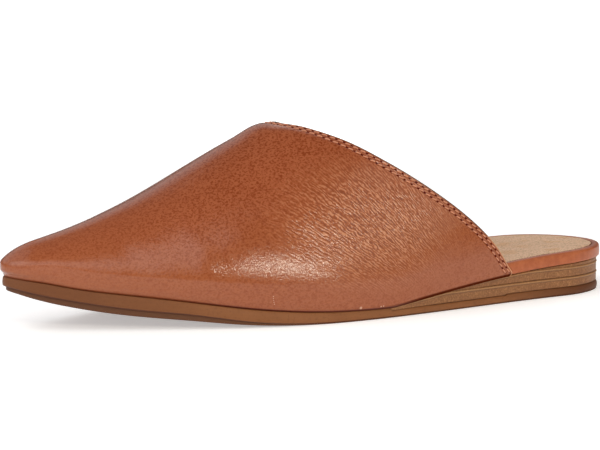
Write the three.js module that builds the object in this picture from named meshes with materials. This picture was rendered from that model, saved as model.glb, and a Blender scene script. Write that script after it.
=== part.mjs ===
// Pointed leather mule for the left foot, standing empty on its sole.
// Millimetres, +Z up, +X from heel to toe, +Y to the wearer's left, which is the outer side.
// Inside this file x starts at the back of the heel and z at the floor.
import * as THREE from "three";
import { mergeVertices } from "three/addons/utils/BufferGeometryUtils.js";

// Driving sizes of the sole
const soleLength = 270;
const ballWidth = 84;
const heelRadius = 30;
const toeRadius = 8;
const toeSwing = 4.5; // how far the toe tip lies towards the inner side
const toeSpring = 16;
const rimHeight = 7.4; // thickest place of the forefoot edge
const rearOutsole = 3.1;
const heelLift = 0.5; // extra thickness of the outsole under the heel
const heelLiftEnd = 61;
const stepRun = 0.4; // length of the short slopes that end the heel lift and the wedge
const stepSlack = 0.25;
const plateHeight = 3.2; // lower, narrower step of the forefoot edge
const plateInset = 1.4;
const rearInset = 0.3; // what is left of that step under the wedge
const treadRound = 0.5; // roundness of the edge on the floor

// Driving sizes of the stacked wedge
const wedgeSeat = 13.8; // height of its top at the heel
const wedgeJoin = 3.6; // height of its top where it runs out
const wedgeFront = 122;
const layerHeights = [4.2, 4.35]; // the third layer fills up to the seat
const thinnestLayer = 0.5;
const layerTuck = 0.9; // how far a layer's lower edge lies inside the outline
const layerRound = 0.5; // roundness of its upper edge
const seatBlend = 0.4; // how softly the seat runs into the forefoot

// Driving sizes of the footbed and its sock lining
const footbedHeight = 5.6;
const footbedOverhang = 0.7;
const footbedTuck = 1; // how far its underside lies inside its edge
const footbedRound = 1.1; // height of the rounded upper edge
const boardEdge = 0.3; // small roundness of the board
const sockThickness = 0.8;
const sockRim = 2.6; // leather left showing round the sock lining
const sockHeelRim = 1.4; // more of it at the back of the heel
const sockRound = 0.5;

// Driving sizes of the upper
const vampHeight = 71; // throat above the top of the sole
const wall = 1.9;
const lastingMargin = 5;
const tailStation = 58.7; // where the collar comes down to the sole
const bellyHeight = 10;
const bellyOut = 2.2;
const foldRound = 0.5; // how far the folded collar edge is rounded out
const tailRun = 4; // length over which the footbed narrows to go inside the tails
const tailClear = 2; // and how far behind the tails it has narrowed

const gap = 0.35; // clearance between curved pieces that meet

// Sole outline: half widths to each side of the swung middle line, as shares of the ball width
const outlineRows = [
  { along: 0.0, lateral: 0.294, medial: 0.331 },
  { along: 0.14, lateral: 0.33, medial: 0.365 },
  { along: 0.3, lateral: 0.417, medial: 0.34 },
  { along: 0.42, lateral: 0.486, medial: 0.336 },
  { along: 0.54, lateral: 0.524, medial: 0.4 },
  { along: 0.62, lateral: 0.51, medial: 0.47 },
  { along: 0.7, lateral: 0.464, medial: 0.492 },
  { along: 0.8, lateral: 0.352, medial: 0.4 },
  { along: 0.9, lateral: 0.225, medial: 0.24 },
  { along: 1.0, lateral: 0.095, medial: 0.095 },
];

// Sole profile: the underside as a share of the toe spring, the edge as a share of the rim
// height, and the lower step of the edge as a share of the plate height
const profileRows = [
  { along: 0.0, bottom: 0.0, rim: 0.52, plate: 0.15 },
  { along: 0.4, bottom: 0.0, rim: 0.52, plate: 0.15 },
  { along: 0.52, bottom: 0.0, rim: 0.56, plate: 0.15 },
  { along: 0.6, bottom: 0.01, rim: 0.68, plate: 0.18 },
  { along: 0.68, bottom: 0.075, rim: 0.85, plate: 0.42 },
  { along: 0.76, bottom: 0.22, rim: 0.97, plate: 0.76 },
  { along: 0.84, bottom: 0.365, rim: 1.065, plate: 0.82 },
  { along: 0.92, bottom: 0.6, rim: 1.0, plate: 0.8 },
  { along: 0.96, bottom: 0.77, rim: 0.945, plate: 0.68 },
  { along: 1.0, bottom: 1.0, rim: 0.68, plate: 0.45 },
];
const flatUntil = 0.56; // share of the length that lies flat on the floor
const steppedFrom = 0.68; // share of the length where the forefoot's step is fully cut in

// Edge band of the outsole, above the lower step: height as a share of the band, and inset
const bandRows = [
  { height: 0.06, inset: 0.25 },
  { height: 0.3, inset: 0.0 },
  { height: 0.75, inset: 0.05 },
  { height: 1.0, inset: 0.4 },
];

// Edge of a wedge layer: height as a share of the layer, inset, and how far each line stays
// below the sloping seat
const layerRows = [
  { height: 0.19, inset: 0.6, below: 0.2 },
  { height: 0.74, inset: 0.55, below: 0.15 },
  { height: 0.83, inset: 0.2, below: 0.1 },
  { height: 0.93, inset: 0.2, below: 0.05 },
];

// Upper sections: the ridge above the sole as a share of the vamp height, the fullness of the
// section, its belly as shares of the belly sizes, and how far its feather line lies outside the
// sole in millimetres
const sectionRows = [
  { along: 0.2, ridge: 1.355, full: 1.45, belly: 1.14, out: 0.25, feather: 1.3 },
  { along: 0.3, ridge: 1.295, full: 1.45, belly: 1.14, out: 0.35, feather: 1.1 },
  { along: 0.45, ridge: 1.126, full: 1.45, belly: 1.12, out: 0.65, feather: 0.0 },
  { along: 0.585, ridge: 0.996, full: 1.45, belly: 1.08, out: 0.9, feather: -0.9 },
  { along: 0.68, ridge: 0.794, full: 1.42, belly: 0.98, out: 1.0, feather: -1.2 },
  { along: 0.78, ridge: 0.545, full: 1.4, belly: 0.85, out: 1.0, feather: -1.2 },
  { along: 0.88, ridge: 0.348, full: 1.4, belly: 0.77, out: 0.9, feather: -1.1 },
  { along: 0.95, ridge: 0.231, full: 1.5, belly: 0.71, out: 0.8, feather: -1.0 },
  { along: 1.01, ridge: 0.143, full: 1.6, belly: 0.42, out: 0.7, feather: -1.05 },
];

// Collar edge: the way down from the ridge (0) to the belly (1) and on to the feather line, and
// where it lies between the tail (0) and the throat (1)
const toplineLength = 95.8; // from the tail to the throat
const collarRows = [
  { along: 0.0, back: 1.0 },
  { along: 0.02, back: 0.963 },
  { along: 0.07, back: 0.895 },
  { along: 0.15, back: 0.7985 },
  { along: 0.27, back: 0.6765 },
  { along: 0.42, back: 0.5465 },
  { along: 0.6, back: 0.3975 },
  { along: 0.8, back: 0.231 },
  { along: 0.94, back: 0.125 },
  { along: 1.04, back: 0.063 },
  { along: 1.14, back: 0.0 },
];

// How finely the curves are cut
const capSteps = 6;
const sideStep = 9.5;
const upperStations = 26;
const stationCrowding = 1.3; // above 1, sections lie closer towards the toe
const upperTurns = [0, 0.05, 0.12, 0.21, 0.31, 0.42, 0.53, 0.64, 0.75, 0.86, 1, 1.35, 1.7, 2];
const noseSoftness = 6; // how the station lines fan round the toe outline
const ridgeSoftness = 20; // and how they end on the ridge behind it
const bendStep = 4; // spacing of the extra stations where the wedge runs out
const tiny = 1e-3;

// A smooth curve through one column of a table, by natural cubic spline
function curve(rows, column) {
  const s = rows.map((row) => row.along);
  const v = rows.map((row) => row[column]);
  const last = s.length - 1;
  const step = (i) => s[i + 1] - s[i];
  const bend = new Array(last + 1).fill(0);
  const sweep = new Array(last + 1).fill(0);
  for (let i = 1; i < last; i += 1) {
    const pivot = 2 * (step(i - 1) + step(i)) - step(i - 1) * sweep[i - 1];
    const pull = 6 * ((v[i + 1] - v[i]) / step(i) - (v[i] - v[i - 1]) / step(i - 1));
    sweep[i] = step(i) / pivot;
    bend[i] = (pull - step(i - 1) * bend[i - 1]) / pivot;
  }
  for (let i = last - 1; i > 0; i -= 1) bend[i] -= sweep[i] * bend[i + 1];
  return (at) => {
    let i = 0;
    while (i < last - 1 && at >= s[i + 1]) i += 1;
    const a = (s[i + 1] - at) / step(i);
    const b = (at - s[i]) / step(i);
    const sag = ((a ** 3 - a) * bend[i] + (b ** 3 - b) * bend[i + 1]) * (step(i) ** 2 / 6);
    return a * v[i] + b * v[i + 1] + sag;
  };
}

function mix(from, to, share) {
  return from + (to - from) * share;
}

function ramp(x, from) {
  return Math.min(1, Math.max(0, (x - from) / stepRun));
}

function stepStations(x) {
  return [x, x + stepRun + 2 * stepSlack];
}

function smoothMax(a, b, blend) {
  return (a + b + Math.hypot(a - b, blend)) / 2;
}

// Sole heights at a station x
const bottomShare = curve(profileRows, "bottom");
const rimShare = curve(profileRows, "rim");
const plateShare = curve(profileRows, "plate");

function soleBottom(x) {
  return x < flatUntil * soleLength ? 0 : toeSpring * Math.max(0, bottomShare(x / soleLength));
}

function rimTop(x) {
  return soleBottom(x) + rimHeight * rimShare(x / soleLength);
}

function soleTop(x) {
  const wedgeTop = wedgeSeat - (wedgeSeat - wedgeJoin) * (x / wedgeFront) ** 2;
  return smoothMax(wedgeTop, rimTop(x), seatBlend);
}

// Sole outline: side +1 is the outer side, -1 the inner one
const lateralShare = curve(outlineRows, "lateral");
const medialShare = curve(outlineRows, "medial");

function middle(x) {
  return -toeSwing * (x / soleLength) ** 2;
}

function roundedEnd(distance, radius) {
  const rest = 1 - Math.min(1, Math.max(0, distance) / radius);
  return Math.sqrt(1 - rest * rest);
}

function halfWidth(x, side) {
  const share = side > 0 ? lateralShare(x / soleLength) : medialShare(x / soleLength);
  const ends = roundedEnd(x, heelRadius) * roundedEnd(soleLength - x, toeRadius);
  return ballWidth * share * ends;
}

function outlinePoint(x, side) {
  return new THREE.Vector2(x, middle(x) + side * halfWidth(x, side));
}

// Extra stations where the sole's top bends from the wedge into the forefoot
const bendStations = [-2, -1, 1, 2].map((count) => wedgeFront + count * bendStep);

// Stations from heel to toe: round ends by angle, sides by equal steps, and the given extra ones
function stations(front, extras = []) {
  const list = [];
  for (let i = 0; i <= capSteps; i += 1) {
    const turn = (i / capSteps) * (Math.PI / 2);
    list.push(heelRadius * (1 - Math.cos(turn)));
    if (front >= soleLength) list.push(soleLength - toeRadius * (1 - Math.cos(turn)));
  }
  const sideEnd = front >= soleLength ? soleLength - toeRadius : front;
  const count = Math.round((sideEnd - heelRadius) / sideStep);
  for (let i = 1; i <= count; i += 1) list.push(mix(heelRadius, sideEnd, i / count));
  extras.forEach((x) => list.push(x));
  return list
    .filter((x) => x <= front)
    .sort((a, b) => a - b)
    .filter((x, i, all) => i === 0 || x - all[i - 1] > 10 * tiny);
}

// The outline as one loop, counter-clockwise from above, each point with its outward direction
function outlineLoop(front, extras) {
  const xs = stations(front, extras);
  const closedToe = front >= soleLength;
  const inner = xs.map((x) => outlinePoint(x, -1));
  const outer = xs.map((x) => outlinePoint(x, 1)).reverse();
  const points = [...inner, ...outer.slice(closedToe ? 1 : 0, -1)];
  return points.map((point, i) => {
    const before = points[(i + points.length - 1) % points.length];
    const after = points[(i + 1) % points.length];
    const square = !closedToe && Math.abs(point.x - front) < tiny;
    const ahead = square && point.y < 0 ? point : after;
    const behind = square && point.y > 0 ? point : before;
    const along = new THREE.Vector2().subVectors(ahead, behind).normalize();
    return { x: point.x, y: point.y, out: new THREE.Vector2(along.y, -along.x), square };
  });
}

// A ring is that loop moved outwards and lifted, both by functions of the station
function ring(loop, outward, height) {
  return loop.map(({ x, y, out, square }) => {
    const move = outward(x);
    const moved = square ? x : x + out.x * move;
    return new THREE.Vector3(moved, y + out.y * move, height(Math.min(moved, soleLength)));
  });
}

function geometryFrom(triangles) {
  const flat = triangles.flatMap((corners) => corners.flatMap((p) => [p.x, p.y, p.z]));
  const geometry = new THREE.BufferGeometry();
  geometry.setAttribute("position", new THREE.Float32BufferAttribute(flat, 3));
  const merged = mergeVertices(geometry, tiny);
  const index = Array.from(merged.index.array);
  const kept = [];
  for (let i = 0; i < index.length; i += 3) {
    const [a, b, c] = index.slice(i, i + 3);
    if (a !== b && b !== c && c !== a) kept.push(a, b, c);
  }
  merged.setIndex(kept);
  merged.computeVertexNormals();
  return merged;
}

function quad(a, b, c, d) {
  return [
    [a, b, c],
    [a, c, d],
  ];
}

// Flat strips across a ring, between the points that face each other
function capAcross(points, upwards) {
  const faces = [];
  const put = (...corners) => faces.push(upwards ? corners : corners.reverse());
  let low = 0;
  let high = points.length;
  while (high - low > 1) {
    const a = points[low];
    const b = points[low + 1];
    const c = points[high - 1];
    const d = points[high % points.length];
    if (b !== c && a !== d) {
      put(a, b, c);
      put(a, c, d);
    } else if (a === d) {
      put(a, b, c);
    } else {
      put(a, b, d);
    }
    low += 1;
    high -= 1;
  }
  return faces;
}

// A closed solid through rings stacked from its underside to its top
function stackRings(rings) {
  const faces = [];
  for (let k = 0; k + 1 < rings.length; k += 1) {
    const low = rings[k];
    const high = rings[k + 1];
    for (let i = 0; i < low.length; i += 1) {
      const j = (i + 1) % low.length;
      faces.push(...quad(low[i], low[j], high[j], high[i]));
    }
  }
  faces.push(...capAcross(rings[0], false));
  faces.push(...capAcross(rings[rings.length - 1], true));
  return geometryFrom(faces);
}

function piece(name, geometry, color, roughness) {
  const material = new THREE.MeshStandardMaterial({ color, roughness, metalness: 0 });
  const mesh = new THREE.Mesh(geometry, material);
  mesh.name = name;
  return mesh;
}

// Outsole: a rounded edge band over a narrower tread plate at the forefoot, thin under the wedge
function outsole() {
  const under = (x) => rearOutsole + heelLift * (1 - ramp(x, heelLiftEnd));
  const top = (x) => mix(under(x), soleTop(x), ramp(x, wedgeFront + stepSlack));
  const plate = (x) => soleBottom(x) + plateHeight * plateShare(x / soleLength);
  const stepIn = (x) => {
    const forefoot = THREE.MathUtils.smoothstep(x / soleLength, flatUntil, steppedFrom);
    return -mix(rearInset, plateInset, forefoot);
  };
  const steps = [heelLiftEnd, wedgeFront].flatMap(stepStations);
  const loop = outlineLoop(soleLength, [...steps, ...bendStations]);
  const band = bandRows.map(({ height, inset }) =>
    ring(loop, () => -inset, (x) => mix(plate(x), top(x), height)),
  );
  return stackRings([
    ring(loop, (x) => stepIn(x) - treadRound, soleBottom),
    ring(loop, stepIn, (x) => mix(soleBottom(x), plate(x), 0.5)),
    ring(loop, stepIn, plate),
    ...band,
  ]);
}

// One layer of the stacked wedge, with a bead along its upper edge, cut off by the sloping seat
function wedgeLayer(low, high) {
  const cut = (x) => Math.min(high, soleTop(x));
  let front = wedgeFront - gap;
  while (cut(front) - low < thinnestLayer) front -= thinnestLayer;
  const lifted = low > rearOutsole ? 0 : heelLift;
  const step = (x) => low + lifted * (1 - ramp(x, heelLiftEnd + gap + stepSlack));
  const extras = [...stepStations(heelLiftEnd + gap), ...bendStations];
  const loop = outlineLoop(front, lifted ? extras : []);
  const edge = layerRows.map(({ height, inset, below }) =>
    ring(loop, () => -inset, (x) => Math.min(mix(low, high, height), cut(x) - below)),
  );
  return stackRings([
    ring(loop, () => -layerTuck, step),
    ...edge,
    ring(loop, () => -layerRound, cut),
  ]);
}

// Upper sections, as functions of the station
const section = {};
["ridge", "full", "belly", "out", "feather"].forEach((column) => {
  section[column] = curve(sectionRows, column);
});

function featherLine(x) {
  return soleTop(Math.min(x, soleLength)) + gap;
}

// The outline by distance from the toe tip: positive on the outer side, negative on the inner
function outlineByRun(run) {
  const x = soleLength - (Math.hypot(run, noseSoftness) - noseSoftness);
  return outlinePoint(x, run >= 0 ? 1 : -1);
}

// A point of the outside of the upper. turn: 0 ridge, 1 belly, 2 feather line
function upperPoint(run, turn) {
  const at = turn < 0 ? -run : run;
  const rise = Math.abs(turn);
  const base = outlineByRun(at);
  const along = new THREE.Vector2().subVectors(outlineByRun(at + tiny), outlineByRun(at - tiny));
  along.normalize();
  const out = new THREE.Vector2(along.y, -along.x);
  const share = base.x / soleLength;
  const swell = bellyOut * section.out(share);
  const ridgeX = soleLength - (Math.hypot(at, ridgeSoftness) - noseSoftness);
  const ridge = new THREE.Vector2(ridgeX, middle(ridgeX));
  const belly = base.clone().addScaledVector(out, section.feather(share) + swell);
  const over = Math.sin(Math.min(rise, 1) * (Math.PI / 2));
  const tuck = Math.max(0, rise - 1);
  const plan = ridge.lerp(belly, over).addScaledVector(out, -swell * tuck * tuck);
  const s = plan.x / soleLength;
  const foot = featherLine(plan.x);
  const bellyTop = foot + bellyHeight * section.belly(s);
  const crown = rimTop(Math.min(plan.x, soleLength)) + vampHeight * section.ridge(s);
  const lift = Math.max(0, 1 - over * over) ** (1 / section.full(s));
  const z = rise <= 1 ? mix(bellyTop, crown, lift) : mix(bellyTop, foot, tuck);
  return new THREE.Vector3(plan.x, plan.y, z);
}

function upperNormal(run, turn) {
  const near = 10 * tiny;
  const alongRun = upperPoint(run + near, turn).sub(upperPoint(run - near, turn));
  const alongTurn = upperPoint(run, Math.min(2, turn + near)).sub(upperPoint(run, turn - near));
  return alongTurn.cross(alongRun).normalize();
}

// How far a turn lies down the side, measured as the height of the section measures it
function wayDown(turn) {
  const over = Math.sin(Math.min(turn, 1) * (Math.PI / 2));
  const onCrown = 1 - Math.max(0, 1 - over * over) ** (1 / sectionRows[0].full);
  return onCrown + Math.max(0, turn - 1) * (bellyHeight / vampHeight);
}

const collarBack = curve(collarRows, "back");

// The collar edge's distance from the toe tip, in the same measure as run
function collarRun(turn) {
  const station = tailStation + toplineLength * collarBack(wayDown(turn));
  const reach = soleLength - station + noseSoftness;
  return Math.sqrt(reach * reach - noseSoftness * noseSoftness);
}

// One closed section line of the upper: over the outside, under the margin and back inside
function upperLoop(share) {
  const side = (sign) => {
    const shell = upperTurns.map((turn) => {
      const run = sign * collarRun(turn) * share;
      const outer = upperPoint(run, turn);
      const inner = outer.clone().addScaledVector(upperNormal(run, turn), -wall);
      inner.z = Math.max(inner.z, featherLine(outer.x) + wall);
      return { outer, inner, run };
    });
    const foot = shell[shell.length - 1];
    const ridgeX = soleLength - (Math.hypot(foot.run, ridgeSoftness) - noseSoftness);
    const inwards = new THREE.Vector3(ridgeX, middle(ridgeX), 0).sub(foot.outer).setZ(0);
    const edge = foot.outer.clone().addScaledVector(inwards.normalize(), wall + lastingMargin);
    edge.z = featherLine(edge.x);
    const top = edge.clone().setZ(edge.z + wall);
    return { shell, edge, top };
  };
  const lateral = side(1);
  const medial = side(-1);
  const lateralOut = [...lateral.shell].reverse().map((p) => p.outer);
  const medialIn = [...medial.shell].reverse().map((p) => p.inner);
  const medialOut = medial.shell.slice(1).map((p) => p.outer);
  const lateralIn = lateral.shell.slice(1).map((p) => p.inner);
  return {
    outside: [lateral.edge, ...lateralOut, ...medialOut, medial.edge],
    inside: [medial.top, ...medialIn, ...lateralIn, lateral.top],
  };
}

function upper() {
  const loops = [];
  for (let i = 0; i <= upperStations; i += 1) {
    loops.push(upperLoop((1 - i / upperStations) ** stationCrowding));
  }
  const faces = [];
  const rings = loops.map(({ outside, inside }) => [...outside, ...inside]);
  for (let i = 0; i < upperStations; i += 1) {
    const near = rings[i];
    const far = rings[i + 1];
    for (let k = 0; k < near.length; k += 1) {
      const next = (k + 1) % near.length;
      faces.push(...quad(near[k], near[next], far[next], far[k]));
    }
  }
  const { outside, inside } = loops[0];
  const facing = [...inside].reverse();
  const ahead = loops[1].outside;
  const fold = outside.map((p, k) => {
    const back = p.clone().sub(ahead[k]).normalize();
    return p.clone().lerp(facing[k], 0.5).addScaledVector(back, foldRound);
  });
  for (let k = 0; k + 1 < outside.length; k += 1) {
    faces.push(...quad(outside[k + 1], outside[k], fold[k], fold[k + 1]));
    faces.push(...quad(fold[k + 1], fold[k], facing[k], facing[k + 1]));
  }
  const last = outside.length - 1;
  faces.push([outside[0], facing[0], fold[0]]);
  faces.push([outside[last], fold[last], facing[last]]);
  return geometryFrom(faces);
}

// Footbed: wrapped board, full height behind the tails, rebated for the margin inside the upper
const tailEnd = tailStation - tailClear;
const tailStart = tailEnd - tailRun;
const tailStations = [tailStart, mix(tailStart, tailEnd, 0.5), tailEnd];

function insideUpper(x) {
  return THREE.MathUtils.smoothstep(x, tailStart, tailEnd);
}

function footbedEdge(x) {
  const covered = section.feather(Math.max(x / soleLength, sectionRows[0].along)) - wall - 2 * gap;
  return mix(footbedOverhang, covered, insideUpper(x));
}

function sockEdge(x) {
  const rim = sockRim + sockHeelRim * (1 - roundedEnd(x, heelRadius));
  return footbedEdge(x) - mix(rim, 3 * gap, insideUpper(x));
}

function footbedTop(x) {
  return soleTop(x) + footbedHeight;
}

function footbed() {
  const loop = outlineLoop(soleLength, [...tailStations, ...bendStations]);
  const plateau = (x) => footbedEdge(x) - mix(footbedTuck, lastingMargin + 2 * gap, insideUpper(x));
  const rebate = (x) => soleTop(x) + gap + mix(boardEdge, wall + gap, insideUpper(x));
  const recess = (x) => sockEdge(x) + gap;
  return stackRings([
    ring(loop, plateau, (x) => soleTop(x) + gap),
    ring(loop, plateau, rebate),
    ring(loop, footbedEdge, (x) => rebate(x) + boardEdge),
    ring(loop, footbedEdge, (x) => footbedTop(x) - footbedRound),
    ring(loop, (x) => footbedEdge(x) - boardEdge, (x) => footbedTop(x) - boardEdge),
    ring(loop, (x) => mix(footbedEdge(x), recess(x), 0.5), footbedTop),
    ring(loop, recess, (x) => footbedTop(x) - boardEdge / 2),
    ring(loop, recess, (x) => footbedTop(x) - sockThickness - gap),
  ]);
}

function sockLining() {
  const loop = outlineLoop(soleLength, [...tailStations, ...bendStations]);
  return stackRings([
    ring(loop, sockEdge, (x) => footbedTop(x) - sockThickness),
    ring(loop, sockEdge, (x) => footbedTop(x) - sockRound / 2),
    ring(loop, (x) => sockEdge(x) - sockRound, footbedTop),
  ]);
}

const tan = 0xa5603c;
const brown = 0x82573a;
const stackBrown = 0x8f6440;
const sand = 0xc8a98a;

const lowerTop = rearOutsole + heelLift + layerHeights[0];
const middleTop = lowerTop + layerHeights[1];

const pieces = [
  piece("outsole", outsole(), brown, 0.6),
  piece("wedge_layer_lower", wedgeLayer(rearOutsole, lowerTop), stackBrown, 0.65),
  piece("wedge_layer_middle", wedgeLayer(lowerTop, middleTop), stackBrown, 0.65),
  piece("wedge_layer_top", wedgeLayer(middleTop, wedgeSeat), stackBrown, 0.65),
  piece("footbed", footbed(), tan, 0.5),
  piece("sock_lining", sockLining(), sand, 0.85),
  piece("upper", upper(), tan, 0.5),
];

// The origin is under the middle of the shoe, on the floor
const shoe = new THREE.Group();
shoe.add(...pieces);
const box = new THREE.Box3().setFromObject(shoe, true);
const centre = box.getCenter(new THREE.Vector3());
shoe.position.set(-centre.x, -centre.y, -box.min.z);
shoe.updateMatrixWorld(true);

export default shoe;
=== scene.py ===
"""Pointed leather mule for the left foot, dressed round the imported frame.

Lengths are millimetres in the shoe's own frame, unless a name says otherwise: x runs from the
back of the heel to the toe, y to the wearer's left, which is the outer side, and z up.
"""

import bpy
import numpy as np
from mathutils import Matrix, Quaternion, Vector, kdtree


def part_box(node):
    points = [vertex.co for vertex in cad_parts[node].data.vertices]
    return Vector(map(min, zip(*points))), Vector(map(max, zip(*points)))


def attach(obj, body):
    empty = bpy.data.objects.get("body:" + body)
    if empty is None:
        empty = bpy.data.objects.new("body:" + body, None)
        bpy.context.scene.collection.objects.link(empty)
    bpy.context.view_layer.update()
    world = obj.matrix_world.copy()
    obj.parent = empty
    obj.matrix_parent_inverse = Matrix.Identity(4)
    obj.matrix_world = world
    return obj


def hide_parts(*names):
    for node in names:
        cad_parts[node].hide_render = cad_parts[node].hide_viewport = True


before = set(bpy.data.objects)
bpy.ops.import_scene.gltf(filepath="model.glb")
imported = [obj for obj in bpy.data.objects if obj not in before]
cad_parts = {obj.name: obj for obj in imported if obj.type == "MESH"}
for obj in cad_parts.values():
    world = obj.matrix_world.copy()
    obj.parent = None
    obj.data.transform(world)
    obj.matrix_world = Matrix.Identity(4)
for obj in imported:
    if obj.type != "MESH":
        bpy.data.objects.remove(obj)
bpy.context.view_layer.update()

# Sizes of the sole
SOLE_LENGTH = 270.0
BALL_WIDTH = 84.0
HEEL_RADIUS = 30.0
TOE_RADIUS = 8.0
TOE_SWING = 4.5
TOE_SPRING = 16.0
RIM_HEIGHT = 7.4
REAR_OUTSOLE = 3.1
HEEL_LIFT = 0.5
HEEL_LIFT_END = 61.0
STEP_RUN = 0.4
PLATE_HEIGHT = 3.2
PLATE_INSET = 1.4
REAR_INSET = 0.3
TOE_BAND_LEAN = 0.55  # how much less the edge leans in round the toe
FLAT_UNTIL = 0.56
STEPPED_FROM = 0.68

# Sizes of the stacked wedge
WEDGE_SEAT = 13.8
WEDGE_JOIN = 3.6
WEDGE_FRONT = 122.0
LAYER_HEIGHTS = (4.2, 4.35)
SEAT_BLEND = 0.4
LAYER_INSET = 0.5
LAYER_RUN_OUT = 14.0  # length over which the lowest layer comes flush at its front
BEAD_HEIGHT = 0.28  # how far a layer's bead stands out
BEAD_AT = 0.885  # where it lies, as a share of the layer's height

# Sizes of the footbed and the sock lining
FOOTBED_HEIGHT = 5.6
FOOTBED_OVERHANG = 0.7
FOOTBED_ROUND = 1.35  # radius of the upper edge
FOOTBED_TUCK = 1.5  # how far the cover is drawn in underneath
SOCK_RIM = 2.6
SOCK_HEEL_RIM = 1.4
SOCK_FULLNESS = 0.3

# Sizes of the upper
VAMP_HEIGHT = 71.0
WALL = 1.9
LEATHER = 1.05
TAIL_STATION = 58.7
TOPLINE_LENGTH = 95.8
BELLY_HEIGHT = 10.0
BELLY_OUT = 2.2
NOSE_SOFTNESS = 6.0
RIDGE_SOFTNESS = 20.0
TAIL_LEAN = 0.75  # how far the collar edge leans forwards, per millimetre of height
TAIL_RUN = 2.2  # length over which the footbed goes inside the upper
THROAT_SWELL = 0.9  # how far the ridge swells in front of the throat
THROAT_DROP = 0.6  # how far the throat's edge is drawn down behind the swell
MARGIN = 4.0  # how far the leather is turned in under the foot
MARGIN_DROP = 0.26
LINING_INSET = 0.1  # from the leather's edge to the lining's
LINING_PLAY = 0.02
GAP = 0.35

# Sizes of the seam along the collar
ROWS_IN = (1.45, 3.2)  # the two stitch rows, inwards from the edge
ROW_DEPTH = 0.26
PUFF_HEIGHT = 0.16
PUCKER_HEIGHT = 0.05
STITCH_PITCH = 3.4
STITCH_ARCH = 0.34
STITCH_SUNK = 0.3
STITCH_SLANT = 0.16
THREAD = 0.3  # radius of the thread
HOLE_RINGS = ((0.6, -0.24), (0.5, -0.11), (0.22, -0.14))  # radius and lift, going inwards

# The pulled grain: its lines fan out from a low point behind the tail, over the quarter
PULL_CENTRE = (33.0, -50.0)
PULL_RADIUS = 130.0
PULL_PITCH = 1.1
PULL_PLACE = (130.0, 38.5)
PULL_REACH = (45.0, 27.0)


def table(columns, *rows):
    """A short table as a dictionary of its named columns."""
    return {name: np.array([row[k] for row in rows]) for k, name in enumerate(columns.split())}


# Sole outline: half widths as shares of the ball width
OUTLINE = table(
    "along lateral medial",
    (0.0, 0.294, 0.331),
    (0.14, 0.33, 0.365),
    (0.3, 0.417, 0.34),
    (0.42, 0.486, 0.336),
    (0.54, 0.524, 0.4),
    (0.62, 0.51, 0.47),
    (0.7, 0.464, 0.492),
    (0.8, 0.352, 0.4),
    (0.9, 0.225, 0.24),
    (1.0, 0.095, 0.095),
)

# Sole profile: underside, edge and lower step as shares of toe spring, rim and plate height
PROFILE = table(
    "along bottom rim plate",
    (0.0, 0.0, 0.52, 0.15),
    (0.4, 0.0, 0.52, 0.15),
    (0.52, 0.0, 0.56, 0.15),
    (0.6, 0.01, 0.68, 0.18),
    (0.68, 0.075, 0.85, 0.42),
    (0.76, 0.22, 0.97, 0.76),
    (0.84, 0.365, 1.065, 0.82),
    (0.92, 0.6, 1.0, 0.8),
    (0.96, 0.77, 0.945, 0.68),
    (1.0, 1.0, 0.68, 0.45),
)

# Upper sections: ridge height, fullness, belly height and swell, and the feather line's place
SECTIONS = table(
    "along ridge full belly out feather",
    (0.2, 1.355, 1.45, 1.14, 0.25, 1.3),
    (0.3, 1.295, 1.45, 1.14, 0.35, 1.1),
    (0.45, 1.126, 1.45, 1.12, 0.65, 0.0),
    (0.585, 0.996, 1.45, 1.08, 0.9, -0.9),
    (0.68, 0.794, 1.42, 0.98, 1.0, -1.2),
    (0.78, 0.545, 1.4, 0.85, 1.0, -1.2),
    (0.88, 0.348, 1.4, 0.77, 0.9, -1.1),
    (0.95, 0.231, 1.5, 0.71, 0.8, -1.0),
    (1.01, 0.143, 1.6, 0.42, 0.7, -1.05),
)

# Collar edge: the way down from the ridge (0) to the belly (1) and on to the feather line, and
# where it lies between the tail (0) and the throat (1)
COLLAR = table(
    "along back",
    (0.0, 1.0),
    (0.02, 0.963),
    (0.07, 0.895),
    (0.15, 0.7985),
    (0.27, 0.6765),
    (0.42, 0.5465),
    (0.6, 0.3975),
    (0.8, 0.231),
    (0.94, 0.125),
    (1.04, 0.063),
    (1.115, 0.0165),
    (1.132, 0.0095),
    (1.14, 0.0145),
)

# The outsole's edge band from its lower step (0) to the seam (1), and how far it lies in
EDGE_BAND = table(
    "along inset",
    (0.0, 0.75),
    (0.06, 0.3),
    (0.18, 0.08),
    (0.35, 0.0),
    (0.55, 0.04),
    (0.7, 0.16),
    (0.85, 0.36),
    (0.95, 0.56),
    (1.0, 0.75),
)

# Creases of the vamp: place on the side in x and z, length, width, slope in degrees and depth
CREASES = table(
    "x z length width slope depth",
    (201, 27, 12, 5.0, 80, 0.35),
    (226, 27, 14, 5.0, 60, -0.2),
    (166, 36, 20, 5.0, 22, -0.2),
    (140, 46, 24, 7.0, 40, -0.25),
    (118, 60, 22, 7.0, 50, -0.25),
    (96, 30, 18, 6.0, -30, 0.25),
    (257, 36, 11, 4.0, -35, -0.5),
    (270, 22.5, 8, 4.2, 0, 1.0),
)

# Small marks: pale specks of dried glue on the seam and a short pale scratch above it
SPECKS = table(
    "x y z radius",
    (137.1, 42.2, 5.4, 0.75),
    (127.6, 41.6, 5.2, 0.5),
    (126.4, 41.6, 5.3, 0.45),
    (175.3, 40.5, 12.6, 0.27),
    (175.2, 40.3, 11.8, 0.27),
    (175.0, 40.1, 11.0, 0.27),
    (174.8, 40.0, 10.2, 0.27),
    (174.5, 39.9, 9.4, 0.27),
)


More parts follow.
